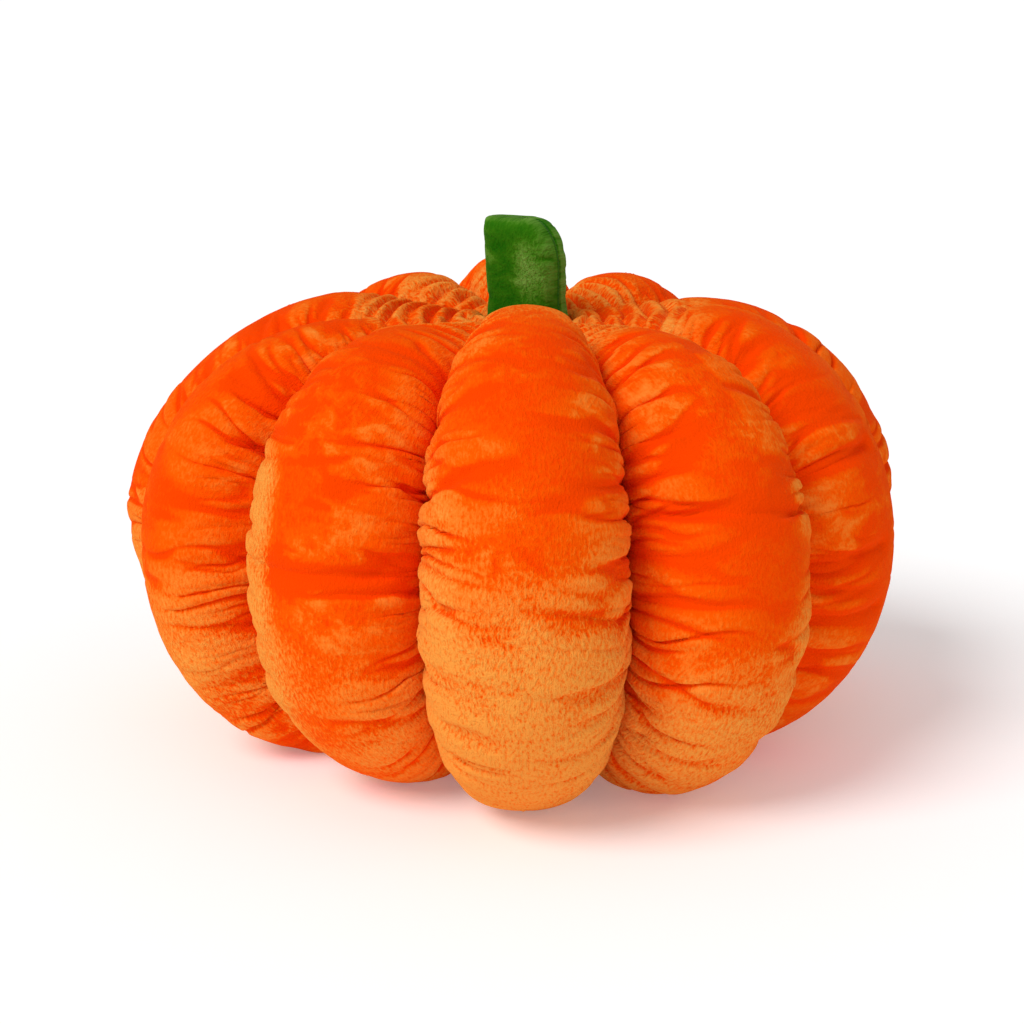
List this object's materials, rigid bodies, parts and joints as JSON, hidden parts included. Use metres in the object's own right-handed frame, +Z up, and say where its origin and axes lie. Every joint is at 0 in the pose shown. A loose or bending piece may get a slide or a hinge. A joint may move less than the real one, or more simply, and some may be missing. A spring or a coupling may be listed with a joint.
{
  "type": "pumpkin plush cushion",
  "caption": "Soft round pumpkin-shaped cushion: stuffed velour ribs drawn in at gathered seams, with a short green stuffed stem on top.",
  "frame": {"origin": "centre of the plush's outline from above, on the surface it rests on", "axes": "+Z up through the stem, -Y towards the front rib, +X to the right as seen from the front"},
  "size_m": [0.4378, 0.4144, 0.284],
  "materials": {
    "orange_velour": "short-pile orange velour with a soft sheen",
    "green_velour": "short-pile green velour with a soft sheen"
  },
  "bodies": {
    "root": {"gore_front": "orange_velour", "gore_right_1": "orange_velour", "gore_right_2": "orange_velour", "gore_right_3": "orange_velour", "gore_right_4": "orange_velour", "gore_back": "orange_velour", "gore_left_4": "orange_velour", "gore_left_3": "orange_velour", "gore_left_2": "orange_velour", "gore_left_1": "orange_velour", "stem_front": "green_velour", "stem_back": "green_velour"}
  },
  "joints": []
}
